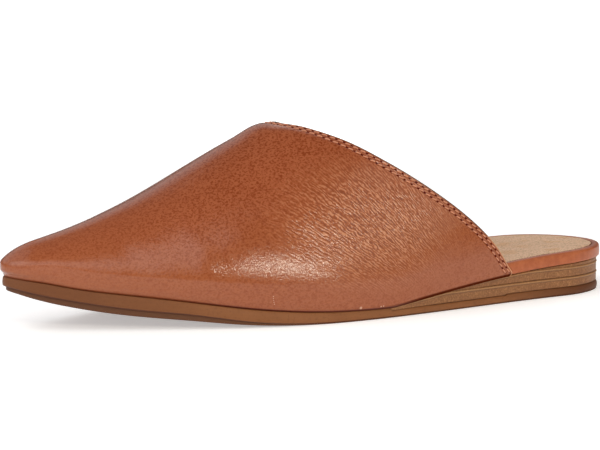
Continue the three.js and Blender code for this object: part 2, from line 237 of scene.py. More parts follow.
def curve(rows, column):
    """A natural cubic spline through one column of a table."""
    s, v = rows["along"], rows[column]
    step = np.diff(s)
    count = len(s)
    matrix, pull = np.eye(count), np.zeros(count)
    for i in range(1, count - 1):
        matrix[i, i - 1 : i + 2] = step[i - 1], 2 * (step[i - 1] + step[i]), step[i]
        pull[i] = 6 * ((v[i + 1] - v[i]) / step[i] - (v[i] - v[i - 1]) / step[i - 1])
    bend = np.linalg.solve(matrix, pull)

    def at(x):
        i = np.clip(np.searchsorted(s, x, side="right") - 1, 0, count - 2)
        a, b = (s[i + 1] - x) / step[i], (x - s[i]) / step[i]
        sag = ((a**3 - a) * bend[i] + (b**3 - b) * bend[i + 1]) * step[i] ** 2 / 6
        return a * v[i] + b * v[i + 1] + sag

    return at


LATERAL, MEDIAL = curve(OUTLINE, "lateral"), curve(OUTLINE, "medial")
BOTTOM, RIM, PLATE = (curve(PROFILE, name) for name in ("bottom", "rim", "plate"))
SECTION = {name: curve(SECTIONS, name) for name in ("ridge", "full", "belly", "out", "feather")}
COLLAR_BACK = curve(COLLAR, "back")
BAND_INSET = curve(EDGE_BAND, "inset")


def mix(a, b, share):
    return a + (b - a) * share


def smooth(x, low, high):
    """0 below low, 1 above high, and a soft step between."""
    t = np.clip((np.asarray(x, float) - low) / (high - low), 0, 1)
    return t * t * (3 - 2 * t)


def bump_at(x, middle, width):
    """A soft bump of height 1."""
    return np.exp(-(((np.asarray(x, float) - middle) / width) ** 2))


def unit(vectors):
    return vectors / np.linalg.norm(vectors, axis=-1, keepdims=True)


def right_of(along):
    """The direction to the right of a way in plan."""
    return np.stack([along[..., 1], -along[..., 0]], -1)


def length_along(line):
    """How far along a line each of its points lies."""
    return np.concatenate([[0], np.cumsum(np.linalg.norm(np.diff(line, axis=0), axis=1))])


# Heights and widths of the sole at a station x
def sole_bottom(x):
    spring = TOE_SPRING * np.maximum(0, BOTTOM(x / SOLE_LENGTH))
    return np.where(x < FLAT_UNTIL * SOLE_LENGTH, 0, spring)


def rim_top(x):
    return sole_bottom(x) + RIM_HEIGHT * RIM(x / SOLE_LENGTH)


def sole_top(x):
    wedge = WEDGE_SEAT - (WEDGE_SEAT - WEDGE_JOIN) * (x / WEDGE_FRONT) ** 2
    rim = rim_top(x)
    return (wedge + rim + np.hypot(wedge - rim, SEAT_BLEND)) / 2


def middle_line(x):
    return -TOE_SWING * (x / SOLE_LENGTH) ** 2


def rounded_end(distance, radius):
    rest = 1 - np.clip(distance / radius, 0, 1)
    return np.sqrt(1 - rest * rest)


def half_width(x, side):
    share = np.where(np.asarray(side) > 0, LATERAL(x / SOLE_LENGTH), MEDIAL(x / SOLE_LENGTH))
    ends = rounded_end(x, HEEL_RADIUS) * rounded_end(SOLE_LENGTH - x, TOE_RADIUS)
    return BALL_WIDTH * share * ends


def edge_y(x, side):
    return middle_line(x) + side * half_width(x, side)


# The shoe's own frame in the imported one
outsole_low, outsole_high = (np.array(corner) * 1000 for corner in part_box("outsole"))
widest = max(edge_y(np.linspace(0, SOLE_LENGTH, 2000), 1))
SHIFT = np.array([outsole_low[0], outsole_high[1] - widest, 0.0])


def to_world(points):
    """Millimetres of the shoe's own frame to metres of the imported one."""
    return (np.asarray(points, float) + SHIFT) * 0.001


# Making objects
def add_object(name, data):
    made = bpy.data.objects.new(name, data)
    bpy.context.scene.collection.objects.link(made)
    return made


def new_object(name, points, faces, attributes=None, weld=0.0):
    """A smooth-shaded mesh object from points in millimetres, with named values per point."""
    mesh = bpy.data.meshes.new(name)
    mesh.from_pydata(to_world(points).tolist(), [], [tuple(f) for f in faces])
    for label, values in (attributes or {}).items():
        values = np.asarray(values, np.float32).ravel()
        is_vector = len(values) == 3 * len(points)
        layer = mesh.attributes.new(label, "FLOAT_VECTOR" if is_vector else "FLOAT", "POINT")
        layer.data.foreach_set("vector" if is_vector else "value", values)
    obj = add_object(name, mesh)
    if weld:
        modifier = obj.modifiers.new("weld", "WELD")
        modifier.merge_threshold = weld * 0.001
        depsgraph = bpy.context.evaluated_depsgraph_get()
        obj.data = bpy.data.meshes.new_from_object(obj.evaluated_get(depsgraph))
        obj.modifiers.clear()
        bpy.data.meshes.remove(mesh)
        obj.data.name = name
    obj.data.validate()
    obj.data.shade_smooth()
    return obj


def grid_faces(rows, columns, close_columns=False, first=0):
    """Quads of a grid of points stored row by row."""
    last = columns if close_columns else columns - 1
    i, j = np.meshgrid(np.arange(rows - 1), np.arange(last), indexing="ij")
    a = (first + i * columns + j).ravel()
    b = (first + i * columns + (j + 1) % columns).ravel()
    return np.stack([a, b, b + columns, a + columns], -1)


def outline_loop(front=SOLE_LENGTH, extras=()):
    """The sole's outline as a loop from the heel along the inner side and back on the outer."""
    closed = front >= SOLE_LENGTH
    turn = np.linspace(0, np.pi / 2, 40)
    stations = [HEEL_RADIUS * (1 - np.cos(turn)), np.array(extras, float)]
    side_end = front
    if closed:
        stations.append(SOLE_LENGTH - TOE_RADIUS * (1 - np.cos(turn)))
        side_end = SOLE_LENGTH - TOE_RADIUS
    stations.append(np.linspace(HEEL_RADIUS, side_end, int((side_end - HEEL_RADIUS) / 1.6)))
    xs = np.unique(np.round(np.concatenate(stations), 3))
    xs = xs[xs <= front]
    inner = np.stack([xs, edge_y(xs, -1)], -1)
    outer = np.stack([xs, edge_y(xs, 1)], -1)[::-1]
    points = np.concatenate([inner, outer[1 if closed else 0 : -1]])
    ahead, behind = np.roll(points, -1, 0), np.roll(points, 1, 0)
    square = np.zeros(len(points), bool)
    if not closed:
        square = np.abs(points[:, 0] - front) < 1e-3
        on_inner = square & (points[:, 1] < 0)
        on_outer = square & (points[:, 1] > 0)
        ahead[on_inner] = points[on_inner]
        behind[on_outer] = points[on_outer]
    out = right_of(unit(ahead - behind))
    return {"points": points, "out": out, "square": square, "stations": len(xs)}


def cap_faces(count, stations, first, upwards):
    """Strips across a ring, between the points that face each other."""
    faces = []
    for low in range(stations - 1):
        a, b = low, low + 1
        c, d = count - low - 1, (count - low) % count
        corners = list(dict.fromkeys([a, b, c, d]))
        if len(corners) >= 3:
            faces.append([first + k for k in (corners if upwards else corners[::-1])])
    return faces


class Rings:
    """Rings of one outline, laid from the underside of a body to its top."""

    def __init__(self, front=SOLE_LENGTH, extras=()):
        self.loop = outline_loop(front, extras)
        self.lines = []

    def lay(self, outward, height):
        """The outline moved outwards and lifted, both by functions of the station."""
        x, y = self.loop["points"].T
        move = outward(x)
        moved = np.where(self.loop["square"], x, x + self.loop["out"][:, 0] * move)
        level = np.broadcast_to(height(np.minimum(moved, SOLE_LENGTH)), moved.shape)
        self.lines.append(np.stack([moved, y + self.loop["out"][:, 1] * move, level], -1))

    def body(self, name, **values):
        """The closed body, with values that are named and given for each ring."""
        count, stations = len(self.loop["points"]), self.loop["stations"]
        points = np.concatenate(self.lines)
        faces = grid_faces(len(self.lines), count, close_columns=True).tolist()
        faces += cap_faces(count, stations, 0, False)
        faces += cap_faces(count, stations, len(points) - count, True)
        attributes = {label: np.repeat(per_ring, count) for label, per_ring in values.items()}
        return new_object(name, points, faces, attributes)


# The form of the upper
def feather_line(x):
    return sole_top(np.minimum(x, SOLE_LENGTH)) + GAP


def crown_height(x):
    return rim_top(np.minimum(x, SOLE_LENGTH)) + VAMP_HEIGHT * SECTION["ridge"](x / SOLE_LENGTH)


def outline_by_run(run):
    """The outline by distance from the toe tip: above 0 on the outer side, below on the inner."""
    x = SOLE_LENGTH - (np.hypot(run, NOSE_SOFTNESS) - NOSE_SOFTNESS)
    return np.stack([x, edge_y(x, np.where(run >= 0, 1, -1))], -1)


def upper_point(run, turn):
    """The outside of the upper, for turns from -2 on the inner side to 2 on the outer side."""
    run, turn = np.broadcast_arrays(np.asarray(run, float), np.asarray(turn, float))
    at, rise = np.where(turn < 0, -run, run), np.abs(turn)
    base = outline_by_run(at)
    out = right_of(unit(outline_by_run(at + 1e-3) - outline_by_run(at - 1e-3)))
    share = base[..., 0] / SOLE_LENGTH
    swell = BELLY_OUT * SECTION["out"](share)
    ridge_x = SOLE_LENGTH - (np.hypot(at, RIDGE_SOFTNESS) - NOSE_SOFTNESS)
    ridge = np.stack([ridge_x, middle_line(ridge_x)], -1)
    belly = base + out * (SECTION["feather"](share) + swell)[..., None]
    over = np.sin(np.minimum(rise, 1) * np.pi / 2)
    tuck = np.maximum(0, rise - 1)
    plan = mix(ridge, belly, over[..., None]) - out * (swell * tuck * tuck)[..., None]
    s = plan[..., 0] / SOLE_LENGTH
    foot = feather_line(plan[..., 0])
    belly_top = foot + BELLY_HEIGHT * SECTION["belly"](s)
    lift = np.maximum(0, 1 - over * over) ** (1 / SECTION["full"](s))
    crown = crown_height(plan[..., 0])
    z = np.where(rise <= 1, mix(belly_top, crown, lift), mix(belly_top, foot, tuck))
    return np.concatenate([plan, z[..., None]], -1)


def upper_normal(run, turn, near=0.02):
    """The outward normal of the upper's surface, from its slopes along and across."""
    run = np.maximum(run, 2 * near)
    turn_low, turn_high = np.maximum(turn - near, -2), np.minimum(turn + near, 2)
    by_run = (upper_point(run + near, turn) - upper_point(run - near, turn)) / (2 * near)
    by_turn = upper_point(run, turn_high) - upper_point(run, turn_low)
    by_turn = by_turn / (turn_high - turn_low)[..., None]
    return unit(np.cross(by_turn, by_run))


def way_down(turn):
    """How far a turn lies down the side, measured as the height of the section measures it."""
    over = np.sin(np.minimum(turn, 1) * np.pi / 2)
    on_crown = 1 - np.maximum(0, 1 - over * over) ** (1 / SECTIONS["full"][0])
    return on_crown + np.maximum(0, turn - 1) * BELLY_HEIGHT / VAMP_HEIGHT


def collar_run(turn):
    """The collar edge's distance from the toe tip, in the same measure as run."""
    station = TAIL_STATION + TOPLINE_LENGTH * COLLAR_BACK(way_down(np.abs(turn)))
    reach = SOLE_LENGTH - station + NOSE_SOFTNESS
    return np.sqrt(reach * reach - NOSE_SOFTNESS**2)


# The collar edge as a line with its length, and what lies inwards of it
EDGE_TURNS = np.linspace(-2, 2, 2401)
EDGE = upper_point(collar_run(EDGE_TURNS), EDGE_TURNS)
EDGE_LENGTH = length_along(EDGE)
EDGE_ALONG = unit(np.gradient(EDGE, axis=0))
edge_tree = kdtree.KDTree(len(EDGE))
for index, corner in enumerate(EDGE):
    edge_tree.insert(corner, index)
edge_tree.balance()


def from_collar(points):
    """Length along the collar and distance from it, for points near it."""
    nearest = np.array([edge_tree.find(p)[1] for p in points])
    offset = points - EDGE[nearest]
    along = np.einsum("ij,ij->i", offset, EDGE_ALONG[nearest])
    away = np.linalg.norm(offset - along[:, None] * EDGE_ALONG[nearest], axis=1)
    return EDGE_LENGTH[nearest] + along, away


def seam_runs(turns, distances):
    """The runs of lines that lie at given distances inwards of the collar edge."""
    tries = np.linspace(0, 26, 53)
    runs = collar_run(turns) - tries[:, None]
    points = upper_point(runs, np.broadcast_to(turns, runs.shape))
    away = from_collar(points.reshape(-1, 3))[1].reshape(runs.shape)
    short = [np.interp(distances, away[:, k], tries) for k in range(len(turns))]
    return collar_run(turns) - np.array(short).T


def throat_form(turns, away):
    """Height of the swell in front of the throat and of the drawn-down edge behind it."""
    near_throat = 1 - smooth(np.abs(turns), 0.08, 0.4)
    swell = THROAT_SWELL * bump_at(away, 8.5, 6.5)
    drop = THROAT_DROP * (1 - smooth(away, 0, 6))
    return near_throat * (swell - drop)


# Small forms of the leather's surface, as heights along the normal
def seam_relief(along, away):
    """The leather drawn down along both stitch rows, puffed between them and puckered."""
    relief = np.zeros_like(away)
    for row in ROWS_IN:
        relief -= ROW_DEPTH * bump_at(away, row, 0.42)
    relief += PUFF_HEIGHT * bump_at(away, np.mean(ROWS_IN), 0.6)
    pucker = np.cos(2 * np.pi * along / STITCH_PITCH)
    relief += PUCKER_HEIGHT * pucker * bump_at(away, ROWS_IN[1] + 0.9, 0.9)
    return relief


def crease_relief(points):
    """Soft troughs and ridges laid over both sides of the vamp."""
    relief = np.zeros(len(points))
    x, y, z = points.T
    side = np.where(y > middle_line(x), 1.0, 0.8)
    for place_x, place_z, length, width, degrees, depth in zip(*CREASES.values()):
        slope = np.radians(degrees)
        ahead, above = x - place_x, z - place_z
        along = ahead * np.cos(slope) + above * np.sin(slope)
        across = above * np.cos(slope) - ahead * np.sin(slope)
        relief += depth * (bump_at(along, 0, length) * bump_at(across, 0, width))
    return relief * side


def pulled_grain(points):
    """A place along and across the lines of the pulled grain, and where it shows."""
    x, y, z = points.T
    ahead, above = x - PULL_CENTRE[0], z - PULL_CENTRE[1]
    angle = np.arctan2(above, ahead)
    place = np.stack([np.hypot(ahead, above), PULL_RADIUS * angle, 0.3 * y], -1)
    spread = np.hypot((x - PULL_PLACE[0]) / PULL_REACH[0], (z - PULL_PLACE[1]) / PULL_REACH[1])
    return place, 1 - smooth(spread, 0.3, 1.2)


# How densely the upper's surface is cut
BAND = np.concatenate([np.arange(0.55, 5.5, 0.28), np.arange(5.6, 9.2, 0.5), [9.4]])
BODY_ROWS = 180
OUT_TURNS = np.unique(np.concatenate([np.linspace(0, 1, 84), np.linspace(1, 2, 20)]))


def run_rows(turns):
    """Lines of the surface: parallel to the collar first, then gathered towards the toe."""
    lines = seam_runs(turns, BAND)
    shares = (1 - np.arange(1, BODY_ROWS + 1) / BODY_ROWS) ** 1.15
    return np.concatenate([lines, lines[-1] * shares[:, None]])


def both_sides(turns):
    return np.concatenate([-turns[:0:-1], turns])


def outside_rows(turns):
    """The leather's outside with its small forms, line by line from the collar to the toe."""
    runs = run_rows(turns)
    grid_turns = np.broadcast_to(turns, runs.shape)
    surface = upper_point(runs, grid_turns)
    normal = upper_normal(runs, grid_turns).reshape(-1, 3)
    flat = surface.reshape(-1, 3)
    along, away = from_collar(flat)
    relief = seam_relief(along, away) + crease_relief(flat) * smooth(away, 3, 12)
    relief += throat_form(grid_turns.ravel(), away)
    free = smooth(flat[:, 2] - feather_line(flat[:, 0]), 0.3, 3)
    shaped = flat + normal * (relief * np.maximum(free, 0.3))[:, None]
    return shaped.reshape(surface.shape)


def rolled_edge_rows(turns):
    """The leather's edge, rolled over the collar and lying a little way down its inside."""
    radius = LEATHER / 2
    roll = np.radians([150, 120, 90, 60, 30])
    distances = np.concatenate([[7.0, 3.0, radius], radius * (1 - np.sin(roll))])
    depths = np.concatenate([[LEATHER] * 3, radius * (1 - np.cos(roll))])
    rows = []
    for run, away, depth in zip(seam_runs(turns, distances), distances, depths):
        inwards = (depth - throat_form(turns, away))[:, None]
        rows.append(upper_point(run, turns) - upper_normal(run, turns) * inwards)
    return np.array(rows)


def margin_columns(foot_line):
    """The leather turned in under the foot, along one lower edge of the outside."""
    x = foot_line[:, 0]
    inwards = np.stack([0 * x, middle_line(x) - foot_line[:, 1], 0 * x], -1)
    size = np.linalg.norm(inwards, axis=1)[:, None]
    inwards = np.where(size > 1e-6, inwards / np.maximum(size, 1e-6), 0)
    reach = np.minimum(size, MARGIN)
    return np.stack([foot_line + inwards * reach * k - [0, 0, MARGIN_DROP] for k in (0.06, 1)], 1)


def upper_leather():
    """The vamp's leather: outside, rounded collar edge, a turned-in edge and the margin."""
    turns = both_sides(OUT_TURNS)
    rolled = rolled_edge_rows(turns)
    rows = np.concatenate([rolled, outside_rows(turns)])
    inner_margin, outer_margin = (margin_columns(rows[:, column]) for column in (0, -1))
    rows = np.concatenate([inner_margin[:, ::-1], rows, outer_margin], 1)
    count_rows, count_columns = rows.shape[:2]
    points = rows.reshape(-1, 3)
    distance = from_collar(points)[1]
    x, _, z = points.T
    foot = feather_line(x)
    pull_place, pull_share = pulled_grain(points)
    row_number = np.repeat(np.arange(count_rows), count_columns)
    edge_share = np.where(row_number < len(rolled), 1.0, 1 - smooth(distance, 0.35, 0.75))
    tail_share = smooth(np.abs(np.pad(turns, 2, mode="edge")), 0.84, 0.92)
    attributes = {
        # where the stitch rows' painted shade lies
        "rows": np.max([bump_at(distance, row, 0.5) for row in ROWS_IN], axis=0),
        "level": np.clip((z - foot) / np.maximum(crown_height(x) - foot, 1), 0, 1),
        "foot": z - foot,
        "edge": edge_share,
        "tail": np.broadcast_to(tail_share, rows.shape[:2]),
        "pull_place": pull_place,
        "pulled": pull_share,
    }
    faces = grid_faces(count_rows, count_columns)[:, ::-1]
    return new_object("upper_leather", points, faces, attributes, weld=0.01)


def upper_lining():
    """The lining inside the vamp, its cut edge just under the leather's."""
    turns = both_sides(np.concatenate([np.linspace(0, 1, 40)[:-1], np.linspace(1, 1.93, 10)]))
    middle = (LEATHER + WALL) / 2 + LINING_PLAY
    radius = (WALL - LEATHER) / 2 - 2 * LINING_PLAY
    roll = np.radians([0, 30, 60, 90, 120, 150, 180])
    cut_edge = LINING_INSET + radius * (1 - np.sin(roll))
    away = np.concatenate([[6.0, 2.0], cut_edge, [1.0, 2.0, 4.0, 7.0]])
    depth = np.concatenate([[-1, -1], -np.cos(roll), [1] * 4]) * radius + middle
    runs = seam_runs(turns, away)
    body = (1 - np.arange(1, 70) / 70) ** 1.1
    runs = np.concatenate([runs, runs[-1] * body[:, None]])
    depth = np.concatenate([depth, np.full(len(body), middle + radius)])
    rows = []
    for run, inwards in zip(runs, depth):
        point = upper_point(run, turns)
        raised = throat_form(turns, from_collar(point)[1])
        inner = point - upper_normal(run, turns) * (inwards - raised)[:, None]
        inner[:, 2] = np.maximum(inner[:, 2], feather_line(point[:, 0]) + 0.2)
        rows.append(inner)
    points = np.concatenate(rows)
    faces = grid_faces(len(rows), len(turns))[:, ::-1]
    return new_object("upper_lining", points, faces, {"away": from_collar(points)[1]})


def seam_places(row):
    """Where the needle went in along a row: places, normals and seam directions."""
    turns = np.linspace(-1.9, 1.9, 761)
    runs = seam_runs(turns, [row])[0]
    normals = upper_normal(runs, turns)
    line = upper_point(runs, turns) + normals * throat_form(turns, row)[:, None]
    length = length_along(line)
    at = np.linspace(0, length[-1], round(length[-1] / STITCH_PITCH) + 1)
    places, normal, tangent = (
        np.stack([np.interp(at, length, values[:, k]) for k in range(3)], -1)
        for values in (line, normals, np.gradient(line, axis=0))
    )
    return places, unit(normal), unit(tangent)


def circle(centre, right, up, radius, sides):
    """Points round a centre, in the plane of two directions."""
    angles = 2 * np.pi * np.arange(sides) / sides
    return [centre + radius * (np.cos(angle) * right + np.sin(angle) * up) for angle in angles]


def collar_stitches():
    """Both rows of thread, one arched and slightly slanted tube from hole to hole."""
    sides, rings = 8, 9
    points, faces = [], []
    for row in ROWS_IN:
        places, normals, _ = seam_places(row)
        for start, end, normal in zip(places, places[1:], normals[:-1] + normals[1:]):
            normal = unit(normal)
            across = unit(np.cross(normal, end - start))
            first = len(points)
            for share in np.linspace(0, 1, rings):
                arch = STITCH_ARCH * np.sin(np.pi * share) ** 0.6 - STITCH_SUNK
                core = mix(start, end, mix(0.14, 0.86, share)) + normal * arch
                core = core + across * STITCH_SLANT * (2 * share - 1)
                radius = THREAD * (0.35 + 0.65 * np.sin(np.pi * share) ** 0.35)
                points += circle(core, normal, across, radius, sides)
            faces += grid_faces(rings, sides, close_columns=True, first=first).tolist()
            faces.append([first + j for j in range(sides)][::-1])
            faces.append([first + sides * (rings - 1) + j for j in range(sides)])
    return new_object("collar_stitches", points, faces)


def needle_holes():
    """A dark dimple where each stitch goes into the leather."""
    sides = 10
    points, faces = [], []
    for row in ROWS_IN:
        for place, normal, tangent in zip(*seam_places(row)):
            across = np.cross(normal, tangent)
            first = len(points)
            for radius, lift in HOLE_RINGS:
                points += circle(place + lift * normal, tangent, across, radius, sides)
            faces += grid_faces(len(HOLE_RINGS), sides, close_columns=True, first=first).tolist()
            faces.append([first + (len(HOLE_RINGS) - 1) * sides + j for j in range(sides)])
    return new_object("needle_holes", points, faces)


# The sole
def outsole_rubber():
    """The outsole: its lower step, and its edge band up to the wedge and the upper."""

    def under(x):
        lifted = 1 - np.clip((x - HEEL_LIFT_END) / STEP_RUN, 0, 1)
        return REAR_OUTSOLE + HEEL_LIFT * lifted

    def top(x):
        return mix(under(x), sole_top(x), np.clip((x - WEDGE_FRONT) / STEP_RUN, 0, 1))

    def plate(x):
        return sole_bottom(x) + PLATE_HEIGHT * PLATE(x / SOLE_LENGTH)

    def step_in(x):
        return -mix(REAR_INSET, PLATE_INSET, smooth(x / SOLE_LENGTH, FLAT_UNTIL, STEPPED_FROM))

    steps = [HEEL_LIFT_END, HEEL_LIFT_END + STEP_RUN, WEDGE_FRONT, WEDGE_FRONT + STEP_RUN]
    rings = Rings(extras=steps)
    rings.lay(lambda x: step_in(x) - 0.7, sole_bottom)
    rings.lay(lambda x: step_in(x) - 0.25, lambda x: sole_bottom(x) + 0.08)
    rings.lay(step_in, lambda x: mix(sole_bottom(x), plate(x), 0.3))
    rings.lay(step_in, lambda x: mix(sole_bottom(x), plate(x), 0.85))
    rings.lay(lambda x: step_in(x) - 0.1, plate)
    shares = (0.0, 0.05, 0.12, 0.22, 0.35, 0.5, 0.65, 0.78, 0.88, 0.95, 1.0)
    level = [0.0] * len(rings.lines) + list(shares)
    for share in shares:
        rings.lay(
            lambda x: -BAND_INSET(share) * mix(1, TOE_BAND_LEAN, smooth(x, 180, 220)),
            lambda x: mix(plate(x), top(x), share),
        )
    return rings.body("outsole_rubber", level=level)


def run_out(low):
    """The station where a layer that starts at a height has run out to nothing."""
    stations = np.linspace(0, WEDGE_FRONT + STEP_RUN, 600)
    return np.interp(low + 0.05, sole_top(stations)[::-1], stations[::-1])


def stack_layer(name, low, high, lifted):
    """One layer of the wedge, with a bead along its upper edge that carries a painted highlight."""

    def floor(x):
        raised = 1 - np.clip((x - HEEL_LIFT_END - GAP - 0.25) / STEP_RUN, 0, 1)
        return low + lifted * HEEL_LIFT * raised

    def inset_share(x):
        return 1 - lifted * smooth(x, WEDGE_FRONT - LAYER_RUN_OUT, WEDGE_FRONT)

    def seat(x):
        return np.maximum(np.minimum(high, sole_top(x)), floor(x))

    extras = [HEEL_LIFT_END + GAP, HEEL_LIFT_END + GAP + STEP_RUN + 0.5] if lifted else []
    rings = Rings(run_out(low), extras)
    rings.lay(lambda x: -0.9 * inset_share(x), floor)
    shares = np.array([0.1, 0.25, 0.4, 0.55, 0.66, 0.74, 0.79, 0.83, 0.87, 0.91, 0.95, 0.98])
    for share in shares:
        inset = LAYER_INSET - BEAD_HEIGHT * bump_at(share, BEAD_AT, 0.075)
        rings.lay(lambda x: -inset * inset_share(x), lambda x: mix(floor(x), seat(x), share))
    rings.lay(lambda x: -LAYER_INSET * inset_share(x), seat)
    bead = np.concatenate([[0], bump_at(shares, BEAD_AT, 0.07), [0.1]])
    return rings.body(name, bead=bead, level=np.concatenate([[0], shares, [1]]))


# The footbed
TAIL_STATIONS = TAIL_STATION + np.linspace(-0.5, TAIL_LEAN * FOOTBED_HEIGHT + TAIL_RUN + 0.5, 22)


def inside_upper(x, rise):
    """How far a station at a height above the seat lies inside the upper."""
    start = TAIL_STATION + TAIL_LEAN * rise
    return smooth(x, start, start + TAIL_RUN)


def footbed_edge(x, rise=FOOTBED_HEIGHT):
    covered = SECTION["feather"](np.maximum(x / SOLE_LENGTH, SECTIONS["along"][0])) - WALL - 2 * GAP
    return mix(FOOTBED_OVERHANG, covered, inside_upper(x, rise))


def sock_edge(x):
    rim = SOCK_RIM + SOCK_HEEL_RIM * (1 - rounded_end(x, HEEL_RADIUS))
    return footbed_edge(x) - mix(rim, 3 * GAP, inside_upper(x, FOOTBED_HEIGHT))


def footbed_top(x):
    return sole_top(x) + FOOTBED_HEIGHT


def footbed_cover():
    """The wrapped board: rounded upper edge, a groove round the sock lining, tucked underside."""
    rings = Rings(extras=TAIL_STATIONS)
    radius = FOOTBED_ROUND

    def low_edge(x):
        return sole_top(x) + GAP + mix(0.3, WALL + GAP, inside_upper(x, 0))

    def lower(x, inset):
        return footbed_edge(x, 0) - mix(inset, 5.7, inside_upper(x, 0))

    rings.lay(lambda x: lower(x, FOOTBED_TUCK), lambda x: sole_top(x) + GAP)
    rings.lay(lambda x: lower(x, FOOTBED_TUCK / 3), lambda x: low_edge(x) - 0.25)
    rings.lay(lambda x: footbed_edge(x, 0.5) - 0.12, low_edge)
    for share in (0.1, 0.3, 0.5, 0.7, 1.0):
        rise = share * (FOOTBED_HEIGHT - radius)
        full = 0.08 * np.sin(np.pi * share)
        rings.lay(
            lambda x: footbed_edge(x, rise) + full,
            lambda x: mix(low_edge(x), footbed_top(x) - radius, share),
        )
    for angle in np.radians([18, 36, 54, 72, 90]):
        rings.lay(
            lambda x: footbed_edge(x) - radius * (1 - np.cos(angle)),
            lambda x: footbed_top(x) - radius * (1 - np.sin(angle)),
        )
    for share, drop in ((0.4, -0.05), (0.75, 0.02), (0.93, 0.16), (1.0, 0.45)):
        rings.lay(
            lambda x: mix(footbed_edge(x) - radius, sock_edge(x) + 0.1, share),
            lambda x: footbed_top(x) - drop,
        )
    rings.lay(lambda x: sock_edge(x) - 0.4, lambda x: footbed_top(x) - 0.95)
    # where the groove's darkening lies: painted shade in it and a dotted line along it
    groove = np.concatenate([np.zeros(len(rings.lines) - 3), [0.6, 1.0, 1.0]])
    return rings.body("footbed_cover", groove=groove)


def sock_suede():
    """The sock lining as a soft sheet with a rounded edge, a little full in its middle."""
    rings = Rings(extras=TAIL_STATIONS)
    for inset, drop in ((0.05, 0.75), (0.02, 0.35), (0.2, 0.12), (0.6, -0.02)):
        rings.lay(lambda x: sock_edge(x) - inset, lambda x: footbed_top(x) - drop)
    edge = rings.lines[-1]
    count, stations = len(edge), rings.loop["stations"]
    inner, outer = edge[:stations, None], edge[-np.arange(stations) % count, None]
    shares = (1 - np.cos(np.linspace(0, np.pi, 25))) / 2
    sheet = mix(inner, outer, shares[:, None])
    inwards = (outer - inner)[..., 1] * np.minimum(shares, 1 - shares)
    sheet[..., 2] += SOCK_FULLNESS * smooth(inwards, 0, 6)
    points = np.concatenate([*rings.lines, sheet.reshape(-1, 3)])
    first = len(rings.lines) * count
    faces = grid_faces(len(rings.lines), count, close_columns=True).tolist()
    faces += grid_faces(stations, len(shares), first=first)[:, ::-1].tolist()
    away = np.zeros(len(points))
    x, y = np.clip(points[first:, 0], 0, SOLE_LENGTH), points[first:, 1]
    away[first:] = np.minimum(edge_y(x, 1) - y, y - edge_y(x, -1))
    return new_object("sock_suede", points, faces, {"away": away}, weld=0.02)


# Materials
def srgb(red, green, blue):
    """A colour from its 0 to 255 values as seen, in the shader's linear light."""
    seen = np.array([red, green, blue]) / 255
    linear = np.where(seen <= 0.04045, seen / 12.92, ((seen + 0.055) / 1.055) ** 2.4)
    return (*linear.tolist(), 1.0)


class Nodes:
    """The nodes of a material or of a world, each made with its inputs."""

    def __init__(self, owner):
        owner.use_nodes = True
        self.nodes, self.links = owner.node_tree.nodes, owner.node_tree.links

    def put(self, socket, value):
        """A link from another node's output, or a fixed value."""
        if hasattr(value, "is_output"):
            self.links.new(value, socket)
        else:
            socket.default_value = value

    def node(self, kind, inputs=(), **settings):
        made = self.nodes.new("ShaderNode" + kind)
        for name, value in settings.items():
            setattr(made, name, value)
        for name, value in dict(inputs).items():
            self.put(made.inputs[name], value)
        return made

    def part(self, vector, axis):
        return self.node("SeparateXYZ", {"Vector": vector}).outputs[axis]


